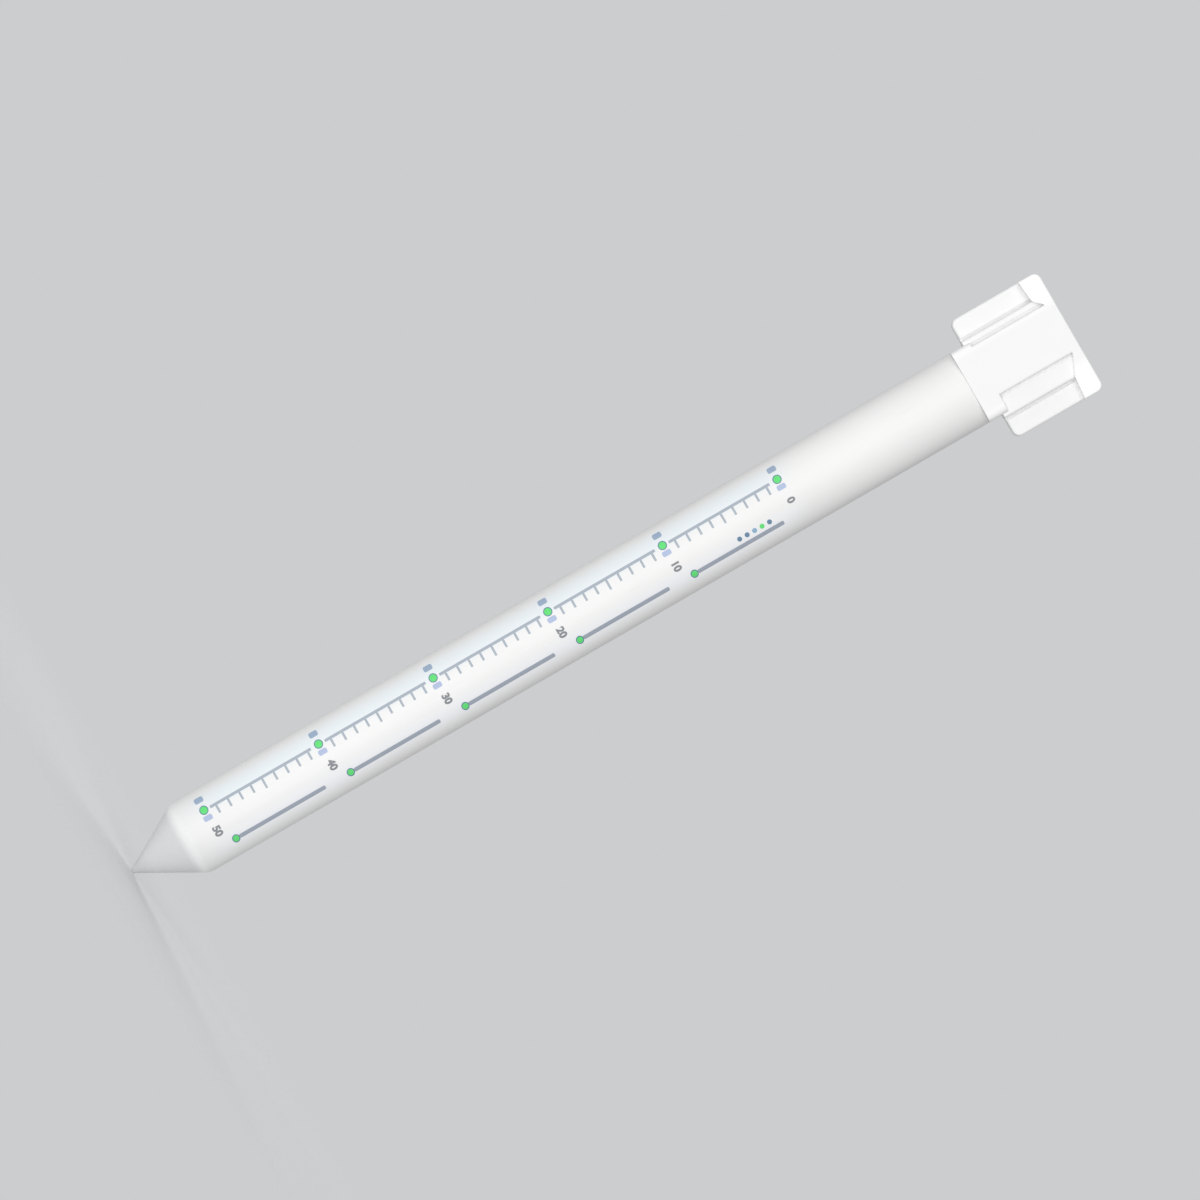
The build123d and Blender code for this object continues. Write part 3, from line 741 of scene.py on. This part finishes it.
def face_front(piece):
    """Turns every flat face of a print to the front."""
    select_faces(piece, lambda face: face.normal.y > 0)
    bpy.ops.mesh.flip_normals()
    bpy.ops.object.mode_set(mode="OBJECT")


def flat_ring(across, height, radius, width):
    """A flat printed ring: a disc inset by its width, with the middle taken out."""
    ring = flat_disc(across, height, radius)
    bpy.ops.object.mode_set(mode="EDIT")
    bpy.ops.mesh.select_all(action="SELECT")
    bpy.ops.mesh.inset(thickness=width)
    bpy.ops.mesh.delete(type="FACE")
    bpy.ops.object.mode_set(mode="OBJECT")
    return ring


def wrap_on_tube(print_piece, thickness):
    """Cuts a flat print into narrow bands, lays it on the tube and gives the ink its thickness."""
    spread = [vertex.co.x for vertex in print_piece.data.vertices]
    pick(print_piece)
    bpy.ops.object.mode_set(mode="EDIT")
    cut = math.ceil(min(spread) / PRINT_BAND) * PRINT_BAND
    while cut < max(spread):
        bpy.ops.mesh.select_all(action="SELECT")
        bpy.ops.mesh.bisect(plane_co=(cut, 0, 0), plane_no=(1, 0, 0))
        cut += PRINT_BAND
    bpy.ops.object.mode_set(mode="OBJECT")
    lay = print_piece.modifiers.new("lay on tube", "SHRINKWRAP")
    lay.target = NODES["probe_tube"]
    lay.wrap_method = "PROJECT"
    lay.use_project_y = True
    lay.use_positive_direction = True
    lay.use_negative_direction = False
    lay.wrap_mode = "ABOVE_SURFACE"
    lay.offset = thickness / 4
    ink = print_piece.modifiers.new("ink", "SOLIDIFY")
    ink.thickness = thickness
    ink.offset = 1
    finish_modifiers(print_piece)


def print_row(name, mark, shifts, thickness, ink):
    """Repeats a flat mark up the tube, lays the row on it as one piece and inks it."""
    row = joined(name, [mark] + [copied(mark, (0, 0, shift)) for shift in shifts])
    wrap_on_tube(row, thickness)
    hand_over(row, "tube", ink)


def stations(settings):
    """Heights of the scale stations, from the lowest to the zero mark."""
    return [-settings.layer_height * n for n in range(settings.layer_count, -1, -1)]


def section_stations(settings):
    """Heights of the stations that a scale section starts at."""
    return stations(settings)[:-1]


# Operators


class PROBE_OT_finish_shell(bpy.types.Operator):
    """Gives the tube, point, head, cover and seals their finishes"""

    bl_idname = "probe.finish_shell"
    bl_label = "Finish Shell"

    def execute(self, context):
        colours = context.scene.probe_finish
        dress_nodes(extruded_white(colours.tube_white), "probe_tube")
        dress_nodes(turned_grey(colours.point_grey, colours.tube_white), "drive_point")
        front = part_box("head_shell")[1][1]
        dress_nodes(moulded_white("head_moulded_white", colours.head_white, front), "head_shell")
        dress_nodes(moulded_white("cover_moulded_white", toned(colours.head_white, 0.97)), "top_cover")
        dress_nodes(seal_rubber(), "head_seals", "point_seals", "cover_gasket", "foot_bumper")
        return {"FINISHED"}


class PROBE_OT_finish_string(bpy.types.Operator):
    """Gives the sensor string, battery and boards inside the probe their finishes"""

    bl_idname = "probe.finish_string"
    bl_label = "Finish Sensor String"

    def execute(self, context):
        dress_nodes(screw_steel(), "board_screws", "bracket_screws", "cradle_screws", "rail_pins")
        black_nylon = carrier_plastic("carrier_black_nylon", (0.028, 0.029, 0.03))
        dress_nodes(black_nylon, "battery_cradle", "board_bracket")
        dress_nodes(carrier_plastic("rail_grey_laminate", (0.5, 0.5, 0.42)), "spine_rail", "rail_foot")
        bobbins = [f"bobbin_{layer}" for layer in LAYERS]
        dress_nodes(carrier_plastic("bobbin_ivory_nylon", (0.72, 0.69, 0.6)), *bobbins)
        bands = [f"{place}_band_{layer}" for layer in LAYERS for place in ("upper", "lower")]
        dress_nodes(wound_copper(), *bands)
        boards = [f"oscillator_board_{layer}" for layer in LAYERS]
        dress_nodes(solder_mask(), "main_board", *boards)
        dress_nodes(ribbon_grey(), "ribbon_cable")
        for cell in ("battery_lower", "battery_upper"):
            low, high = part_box(cell)
            dress_nodes(cell_sleeve(low[2], high[2]), cell)
        dress_nodes(contact_nickel(), "contact_lower", "contact_upper")
        dress_nodes(antenna_ceramic(), "antenna_patch")
        return {"FINISHED"}


class PROBE_OT_print_rulers(bpy.types.Operator):
    """Prints a ruler line with its ticks in every scale section"""

    bl_idname = "probe.print_rulers"
    bl_label = "Print Rulers"

    def execute(self, context):
        settings = context.scene.probe_print
        first, *others = section_stations(settings)
        length = settings.ruler_end - settings.ruler_start
        middle = first + (settings.ruler_start + settings.ruler_end) / 2
        pieces = [flat_strip(settings.ruler_across, middle, settings.ruler_width, length)]
        spacing = settings.layer_height / (settings.tick_count + 1)
        line_edge = settings.ruler_across + settings.ruler_width / 2
        for number in range(1, settings.tick_count + 1):
            is_middle = 2 * number == settings.tick_count + 1
            reach = settings.tick_length + settings.middle_tick_extra * is_middle
            pieces.append(
                flat_strip(line_edge + reach / 2, first + spacing * number, reach, settings.tick_width)
            )
        section = joined("section", pieces)
        ink = scale_ink("ruler_grey_ink", context.scene.probe_finish.ruler_ink)
        shifts = [station - first for station in others]
        print_row("ruler_lines", section, shifts, settings.ink_thickness, ink)
        return {"FINISHED"}


class PROBE_OT_print_stations(bpy.types.Operator):
    """Prints the dot, ring and two bars of every scale station"""

    bl_idname = "probe.print_stations"
    bl_label = "Print Stations"

    def execute(self, context):
        settings = context.scene.probe_print
        colours = context.scene.probe_finish
        first, *others = stations(settings)
        shifts = [station - first for station in others]
        dot_radius = settings.mark_radius - settings.mark_ring
        drawn = {
            "station_outer_bars": (
                flat_strip(settings.outer_bar_across, first, settings.bar_width, settings.bar_height),
                scale_ink("outer_bar_blue_ink", colours.outer_bar_ink),
            ),
            "station_inner_bars": (
                flat_strip(settings.inner_bar_across, first, settings.bar_width, settings.bar_height),
                scale_ink("inner_bar_violet_ink", colours.inner_bar_ink),
            ),
            "station_rings": (
                flat_ring(settings.mark_across, first, settings.mark_radius, settings.mark_ring),
                scale_ink("station_ring_blue_ink", colours.ring_ink),
            ),
            "station_dots": (
                flat_disc(settings.mark_across, first, dot_radius),
                scale_ink("station_dot_green_ink", colours.dot_green),
            ),
        }
        for name, (mark, ink) in drawn.items():
            print_row(name, mark, shifts, settings.ink_thickness, ink)
        return {"FINISHED"}


class PROBE_OT_print_numbers(bpy.types.Operator):
    """Prints the depth numbers beside the scale stations"""

    bl_idname = "probe.print_numbers"
    bl_label = "Print Numbers"

    def execute(self, context):
        settings = context.scene.probe_print
        cap_share, stroke_growth, weld = 0.72, 0.0004, 0.00001
        numbers = []
        for height in stations(settings):
            bpy.ops.object.select_all(action="DESELECT")
            bpy.ops.object.text_add(
                location=(settings.number_across, -PRINT_STANDOFF, height + settings.number_rise),
                rotation=(math.radians(90), 0, 0),
            )
            number = bpy.context.object
            centimetres = round(-height * 100)
            number.data.body = str(centimetres)
            number.data.size = settings.number_height / cap_share
            number.data.align_x = "CENTER"
            number.data.align_y = "CENTER"
            number.data.offset = stroke_growth
            bpy.ops.object.convert(target="MESH")
            number = bpy.context.object
            settle(number)
            face_front(number)
            numbers.append(number)
        printed = joined("depth_numbers", numbers)
        pick(printed)
        bpy.ops.object.mode_set(mode="EDIT")
        bpy.ops.mesh.select_all(action="SELECT")
        bpy.ops.mesh.remove_doubles(threshold=weld)
        bpy.ops.object.mode_set(mode="OBJECT")
        wrap_on_tube(printed, settings.ink_thickness)
        ink = scale_ink("number_grey_ink", context.scene.probe_finish.number_ink)
        hand_over(printed, "tube", ink)
        return {"FINISHED"}


class PROBE_OT_print_depth_lines(bpy.types.Operator):
    """Prints the depth line of every scale section, with its dot and ring"""

    bl_idname = "probe.print_depth_lines"
    bl_label = "Print Depth Lines"

    def execute(self, context):
        settings = context.scene.probe_print
        colours = context.scene.probe_finish
        first, *others = section_stations(settings)
        shifts = [station - first for station in others]
        middle = first + (settings.depth_start + settings.depth_end) / 2
        dot_height = first + settings.depth_mark_rise
        dot_radius = settings.depth_mark_radius - settings.mark_ring
        drawn = {
            "depth_lines": (
                flat_strip(
                    settings.depth_across,
                    middle,
                    settings.depth_width,
                    settings.depth_end - settings.depth_start,
                ),
                scale_ink("depth_line_ink", colours.depth_ink),
            ),
            "depth_rings": (
                flat_ring(settings.depth_across, dot_height, settings.depth_mark_radius, settings.mark_ring),
                scale_ink("depth_ring_ink", colours.ring_ink),
            ),
            "depth_dots": (
                flat_disc(settings.depth_across, dot_height, dot_radius),
                scale_ink("depth_dot_green_ink", colours.dot_green),
            ),
        }
        for name, (mark, ink) in drawn.items():
            print_row(name, mark, shifts, settings.ink_thickness, ink)
        return {"FINISHED"}


class PROBE_OT_print_channel_dots(bpy.types.Operator):
    """Prints the row of channel dots beside the uppermost depth line"""

    bl_idname = "probe.print_channel_dots"
    bl_label = "Print Channel Dots"

    def execute(self, context):
        settings = context.scene.probe_print
        colours = context.scene.probe_finish
        kinds = [
            ("channel_dots_dark", scale_ink("channel_dark_ink", colours.channel_blue), (0, 1, 4)),
            ("channel_dots_pale", scale_ink("channel_pale_ink", colours.channel_pale), (2,)),
            ("channel_dot_green", scale_ink("channel_green_ink", colours.dot_green), (3,)),
        ]
        for name, ink, (first, *others) in kinds:
            height = settings.channel_start + settings.channel_pitch * first
            dot = flat_disc(settings.channel_across, height, settings.channel_radius)
            shifts = [settings.channel_pitch * (place - first) for place in others]
            print_row(name, dot, shifts, settings.ink_thickness, ink)
        return {"FINISHED"}


class PROBE_OT_cut_thread(bpy.types.Operator):
    """Winds the thread round the head's spigot"""

    bl_idname = "probe.cut_thread"
    bl_label = "Cut Thread"

    def execute(self, context):
        settings = context.scene.probe_detail
        # Width of the thread's root in its pitch, width of its crest in its root
        root_share, crest_share = 0.62, 0.4
        turn_steps, weld = 72, 0.000001
        depth = settings.thread_crest - settings.thread_root
        middle = (settings.thread_root + settings.thread_crest) / 2
        bpy.ops.object.select_all(action="DESELECT")
        bpy.ops.mesh.primitive_plane_add(
            size=1,
            location=(middle, 0, settings.thread_base),
            rotation=(math.radians(90), 0, 0),
        )
        thread = bpy.context.object
        thread.name = thread.data.name = "head_thread"
        thread.scale = (depth, settings.thread_pitch * root_share, 1)
        settle(thread)
        select_vertices(thread, lambda vertex: vertex.co.x > middle)
        bpy.ops.transform.resize(value=(1, 1, crest_share))
        bpy.ops.mesh.select_all(action="SELECT")
        bpy.ops.mesh.delete(type="ONLY_FACE")
        bpy.ops.object.mode_set(mode="OBJECT")
        wind = thread.modifiers.new("wind", "SCREW")
        wind.axis = "Z"
        wind.screw_offset = settings.thread_pitch
        wind.iterations = settings.thread_turns
        wind.steps = wind.render_steps = turn_steps
        finish_modifiers(thread)
        bpy.ops.object.mode_set(mode="EDIT")
        bpy.ops.mesh.select_all(action="DESELECT")
        bpy.ops.mesh.select_non_manifold()
        bpy.ops.mesh.fill_holes(sides=0)
        bpy.ops.mesh.select_all(action="SELECT")
        bpy.ops.mesh.remove_doubles(threshold=weld)
        bpy.ops.mesh.normals_make_consistent(inside=False)
        bpy.ops.object.mode_set(mode="OBJECT")
        hand_over(thread, "head", NODES["head_shell"].material_slots[0].material)
        return {"FINISHED"}


class PROBE_OT_fit_cover_screws(bpy.types.Operator):
    """Makes the four countersunk cover screws with their hexagon sockets"""

    bl_idname = "probe.fit_cover_screws"
    bl_label = "Fit Cover Screws"

    def execute(self, context):
        settings = context.scene.probe_detail
        # How far a screw stays inside its solid, height of its head's edge, width of the ring inside that
        clear, edge, ring = 0.0001, 0.0002, 0.00015
        low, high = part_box("cover_screws")
        taper = settings.screw_head - settings.screw_shank
        spot_x = high[0] - settings.screw_head
        spot_y = high[1] - settings.screw_head
        shank_base, shank_top = low[2] + clear, high[2] - taper - clear
        bpy.ops.object.select_all(action="DESELECT")
        bpy.ops.mesh.primitive_cylinder_add(
            vertices=40,
            radius=settings.screw_shank,
            depth=shank_top - shank_base,
            location=(spot_x, spot_y, (shank_top + shank_base) / 2),
        )
        screw = bpy.context.object
        settle(screw)
        select_faces(screw, lambda face: face.normal.z > 0.9)
        bpy.ops.mesh.extrude_region_move(TRANSFORM_OT_translate={"value": (0, 0, taper - edge)})
        grown = (settings.screw_head - clear) / settings.screw_shank
        bpy.ops.transform.resize(value=(grown, grown, 1))
        bpy.ops.mesh.extrude_region_move(TRANSFORM_OT_translate={"value": (0, 0, edge)})
        bpy.ops.mesh.inset(thickness=ring)
        bpy.ops.object.mode_set(mode="OBJECT")
        bpy.ops.object.select_all(action="DESELECT")
        bpy.ops.mesh.primitive_cylinder_add(
            vertices=6,
            radius=settings.socket_radius,
            depth=2 * settings.socket_depth,
            location=(spot_x, spot_y, shank_top + taper),
        )
        socket = bpy.context.object
        settle(socket)
        recess = screw.modifiers.new("socket", "BOOLEAN")
        recess.operation = "DIFFERENCE"
        recess.solver = "EXACT"
        recess.object = socket
        finish_modifiers(screw)
        bpy.data.objects.remove(socket)
        shifts = [(-2 * spot_x, 0, 0), (0, -2 * spot_y, 0), (-2 * spot_x, -2 * spot_y, 0)]
        screws = joined("cover_socket_screws", [screw] + [copied(screw, shift) for shift in shifts])
        hand_over(screws, "head", screw_steel())
        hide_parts("cover_screws")
        return {"FINISHED"}


class PROBE_OT_set_stage(bpy.types.Operator):
    """Lays the floor and sets the background, lamps and camera"""

    bl_idname = "probe.set_stage"
    bl_label = "Set Stage"

    def execute(self, context):
        settings = context.scene.probe_stage
        self.lay_floor(settings)
        self.light_world(context.scene, settings)
        self.hang_lamp("key_lamp", settings.key_place, settings.lamp_size, settings.key_power)
        self.hang_lamp("side_lamp", settings.side_place, settings.lamp_size, settings.side_power)
        back = self.hang_lamp("back_lamp", settings.back_place, settings.lamp_size, settings.back_power)
        back.visible_glossy = False
        self.aim_camera(context.scene, settings)
        context.scene.view_settings.view_transform = "Standard"
        return {"FINISHED"}

    def lay_floor(self, settings):
        bpy.ops.object.select_all(action="DESELECT")
        bpy.ops.mesh.primitive_circle_add(
            vertices=96, radius=settings.floor_radius, fill_type="NGON", location=(0, 0, CAD_BOX[0][2])
        )
        floor = bpy.context.object
        floor.name = floor.data.name = "studio_floor"
        settle(floor)
        finish = Finish("floor_matt_pale")
        radius = (finish.x * finish.x + finish.y * finish.y) ** 0.5
        fade_start, fade_end = 0.15, 0.95
        fade = finish.ramp(radius / settings.floor_radius, fade_start, fade_end)
        paper = finish.grain(0.004, 3.0)
        tone = finish.blend(paper, toned(settings.floor_tone, 1.01), toned(settings.floor_tone, 0.99))
        dress(floor, finish.set(Base_Color=tone, Roughness=0.85 + paper * 0.1, Alpha=1.0 - fade))

    def light_world(self, scene, settings):
        world = bpy.data.worlds.new("studio_world")
        world.use_nodes = True
        scene.world = world
        desk = NodeDesk(world.node_tree)
        desk.tree.nodes.clear()
        seen = [
            desk.node("ShaderNodeLightPath", output=ray)
            for ray in ("Is Camera Ray", "Is Glossy Ray", "Is Transmission Ray")
        ]
        shown = seen[0].at_least(seen[1]).at_least(seen[2])
        soft = desk.node("ShaderNodeBackground", {}, {"Color": (1, 1, 1, 1), "Strength": settings.ambient})
        backdrop = desk.node(
            "ShaderNodeBackground", {}, {"Color": as_colour(settings.backdrop_tone), "Strength": 1.0}
        )
        light = desk.node("ShaderNodeMixShader", {}, {0: shown, 1: soft, 2: backdrop})
        desk.node("ShaderNodeOutputWorld", {}, {"Surface": light})

    def hang_lamp(self, name, place, size, power):
        turn = (Vector(LAMP_TARGET) - Vector(place)).to_track_quat("-Z", "Y").to_euler()
        bpy.ops.object.light_add(type="AREA", location=place, rotation=turn)
        lamp = bpy.context.object
        lamp.name = lamp.data.name = name
        lamp.data.size = size
        lamp.data.energy = power
        return lamp

    def aim_camera(self, scene, settings):
        bpy.ops.object.camera_add()
        camera = bpy.context.object
        camera.name = camera.data.name = "photo_camera"
        camera.data.lens = settings.lens
        camera.data.sensor_width = 36.0
        camera.data.clip_end = 100.0
        along, across = math.cos(settings.tilt), math.sin(settings.tilt)
        right = Vector((across, 0, along))
        up = Vector((-along, 0, across))
        back = Vector((0, -1, 0))
        turn = Matrix((right, up, back)).transposed().to_4x4()
        camera.matrix_world = Matrix.Translation(Vector(settings.aim) + back * settings.distance) @ turn
        scene.camera = camera


class PROBE_PT_sidebar(bpy.types.Panel):
    """Lists the probe's operators and settings"""

    bl_idname = "PROBE_PT_sidebar"
    bl_label = "Soil Moisture Probe"
    bl_space_type = "VIEW_3D"
    bl_region_type = "UI"
    bl_category = "Soil Probe"

    def draw(self, context):
        for operator in OPERATORS:
            self.layout.operator(operator.bl_idname)
        for owner in SETTINGS:
            box = self.layout.box()
            group = getattr(context.scene, owner)
            for name in group.__annotations__:
                box.prop(group, name)


SETTINGS = {
    "probe_print": ProbePrintSettings,
    "probe_finish": ProbeFinishSettings,
    "probe_detail": ProbeDetailSettings,
    "probe_stage": ProbeStageSettings,
}
OPERATORS = [
    PROBE_OT_finish_shell,
    PROBE_OT_finish_string,
    PROBE_OT_print_rulers,
    PROBE_OT_print_stations,
    PROBE_OT_print_numbers,
    PROBE_OT_print_depth_lines,
    PROBE_OT_print_channel_dots,
    PROBE_OT_cut_thread,
    PROBE_OT_fit_cover_screws,
    PROBE_OT_set_stage,
]


def register():
    for group in SETTINGS.values():
        bpy.utils.register_class(group)
    for name, group in SETTINGS.items():
        setattr(bpy.types.Scene, name, PointerProperty(type=group))
    for operator in OPERATORS:
        bpy.utils.register_class(operator)
    bpy.utils.register_class(PROBE_PT_sidebar)


def unregister():
    bpy.utils.unregister_class(PROBE_PT_sidebar)
    for operator in reversed(OPERATORS):
        bpy.utils.unregister_class(operator)
    for name, group in SETTINGS.items():
        delattr(bpy.types.Scene, name)
        bpy.utils.unregister_class(group)


def main():
    register()
    bpy.ops.probe.finish_shell()
    bpy.ops.probe.finish_string()
    bpy.ops.probe.print_rulers()
    bpy.ops.probe.print_stations()
    bpy.ops.probe.print_numbers()
    bpy.ops.probe.print_depth_lines()
    bpy.ops.probe.print_channel_dots()
    bpy.ops.probe.cut_thread()
    bpy.ops.probe.fit_cover_screws()
    bpy.ops.probe.set_stage()


if __name__ == "__main__":
    main()
